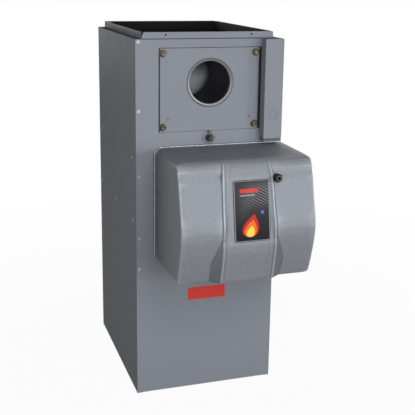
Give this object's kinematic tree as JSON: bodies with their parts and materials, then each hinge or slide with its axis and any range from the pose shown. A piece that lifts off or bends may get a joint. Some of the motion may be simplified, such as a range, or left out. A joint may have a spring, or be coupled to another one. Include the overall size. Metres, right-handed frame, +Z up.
{
  "type": "oil furnace",
  "caption": "Tall sheet-metal oil furnace with an enclosed burner, drum heat exchanger, supply collar, rear return opening, flue collar and blower.",
  "frame": {"origin": "centre of the cabinet's base, on the floor", "axes": "+Z up, the burner and doors face -Y, +X to the right as seen from the front"},
  "size_m": [0.5118, 0.9279, 1.2408],
  "materials": {
    "casing_paint": "semi-gloss baked enamel, mid blue-grey",
    "galvanised": "galvanised sheet",
    "screw_zinc": "zinc-plated",
    "black_board": "matt black faced glass-fibre board",
    "exchanger_steel": "heat-darkened steel",
    "baffle_steel": "dull aluminised steel",
    "firebrick": "rough ceramic fibre",
    "black_steel": "matt black",
    "gasket_fibre": "woven ceramic",
    "collar_steel": "dull plated steel",
    "brass": "bright brass",
    "black_plastic": "moulded black",
    "pale_plastic": "moulded ivory",
    "badge_red": "plain red enamel, unlettered",
    "cover_paint": "metallic speckled grey lacquer",
    "label_black": "gloss black face with a bright rim",
    "cast_aluminium": "as cast",
    "burner_tube": "drawn steel",
    "motor_paint": "black enamel",
    "fan_steel": "zinc-coated",
    "shaft_steel": "ground steel",
    "pump_metal": "yellow-passivated casting",
    "copper": "drawn copper tube",
    "porcelain": "glazed porcelain",
    "control_grey": "moulded light grey",
    "button_red": "moulded red"
  },
  "bodies": {
    "cabinet": {"base_pan": "galvanised", "left_side_panel": "casing_paint", "right_side_panel": "casing_paint", "back_panel": "casing_paint", "front_panel": "casing_paint", "top_frame": "casing_paint", "collar_lining": "black_board", "casing_screws": "screw_zinc", "blower_deck": "galvanised", "liner_boards": "black_board", "combustion_drum": "exchanger_steel", "chamber_liner": "firebrick", "crossover_pipes": "exchanger_steel", "radiator": "exchanger_steel", "radiator_baffle": "baffle_steel", "flue_pipe": "black_steel", "plate_frame": "galvanised", "plate_gasket": "gasket_fibre", "flue_access_plate": "casing_paint", "flue_collar": "collar_steel", "plate_nuts": "brass", "sight_tube": "collar_steel", "wiring_channel": "casing_paint", "limit_switch": "pale_plastic", "cover_hangers": "galvanised", "latch_bracket": "galvanised", "burner_gasket": "gasket_fibre", "burner_flange": "cast_aluminium", "burner_bolts": "screw_zinc", "burner_housing": "cast_aluminium", "burner_motor": "motor_paint", "fuel_pump": "pump_metal", "oil_line": "copper", "air_tube": "burner_tube", "nozzle_pipe": "brass", "electrodes": "porcelain", "flame_head": "burner_tube", "ignition_transformer": "motor_paint", "primary_control": "control_grey", "blower_housing": "galvanised", "blower_motor": "motor_paint", "motor_bracket": "galvanised", "blower_rails": "galvanised", "control_box": "galvanised", "control_transformer": "motor_paint", "door_switch": "pale_plastic"},
    "burner_cover": {"burner_cover": "cover_paint", "label_plate": "label_black"},
    "cover_knob": {"cover_knob": "black_plastic"},
    "blower_door": {"blower_door": "casing_paint", "badge_plate": "badge_red"},
    "sight_cap": {"sight_cap": "black_plastic"},
    "burner_rotor": {"burner_shaft": "shaft_steel", "burner_fan": "fan_steel", "shaft_coupling": "pale_plastic"},
    "air_damper": {"air_damper": "cast_aluminium"},
    "reset_button": {"reset_button": "button_red"},
    "switch_plunger": {"switch_plunger": "black_plastic"},
    "blower_rotor": {"blower_wheel": "fan_steel", "blower_shaft": "shaft_steel"}
  },
  "joints": [
    {"name": "cover_lift_off", "type": "slide", "parent": "cabinet", "child": "burner_cover", "axis": [0, -1, 0], "range_m": [0, 0.35]},
    {"name": "knob_turn", "type": "hinge", "parent": "burner_cover", "child": "cover_knob", "pos_m": [0.131, -0.57, 0.818], "axis": [0, -1, 0], "continuous": true},
    {"name": "door_lift_off", "type": "slide", "parent": "cabinet", "child": "blower_door", "axis": [0, -1, 0], "range_m": [0, 0.35]},
    {"name": "sight_cap_swing", "type": "hinge", "parent": "cabinet", "child": "sight_cap", "pos_m": [0.003, -0.3145, 0.913], "axis": [0, 1, 0], "range_deg": [-120, 120]},
    {"name": "burner_fan_spin", "type": "hinge", "parent": "cabinet", "child": "burner_rotor", "pos_m": [0, -0.4315, 0.6], "axis": [1, 0, 0], "continuous": true},
    {"name": "air_damper_turn", "type": "hinge", "parent": "cabinet", "child": "air_damper", "pos_m": [-0.063, -0.4315, 0.6], "axis": [1, 0, 0], "range_deg": [0, 30]},
    {"name": "reset_press", "type": "slide", "parent": "cabinet", "child": "reset_button", "axis": [0, 1, 0], "range_m": [0, 0.003], "stiffness_N_per_m": 300},
    {"name": "plunger_press", "type": "slide", "parent": "cabinet", "child": "switch_plunger", "axis": [0, 1, 0], "range_m": [0, 0.003], "stiffness_N_per_m": 200},
    {"name": "blower_spin", "type": "hinge", "parent": "cabinet", "child": "blower_rotor", "pos_m": [0, 0.04, 0.215], "axis": [1, 0, 0], "continuous": true}
  ]
}
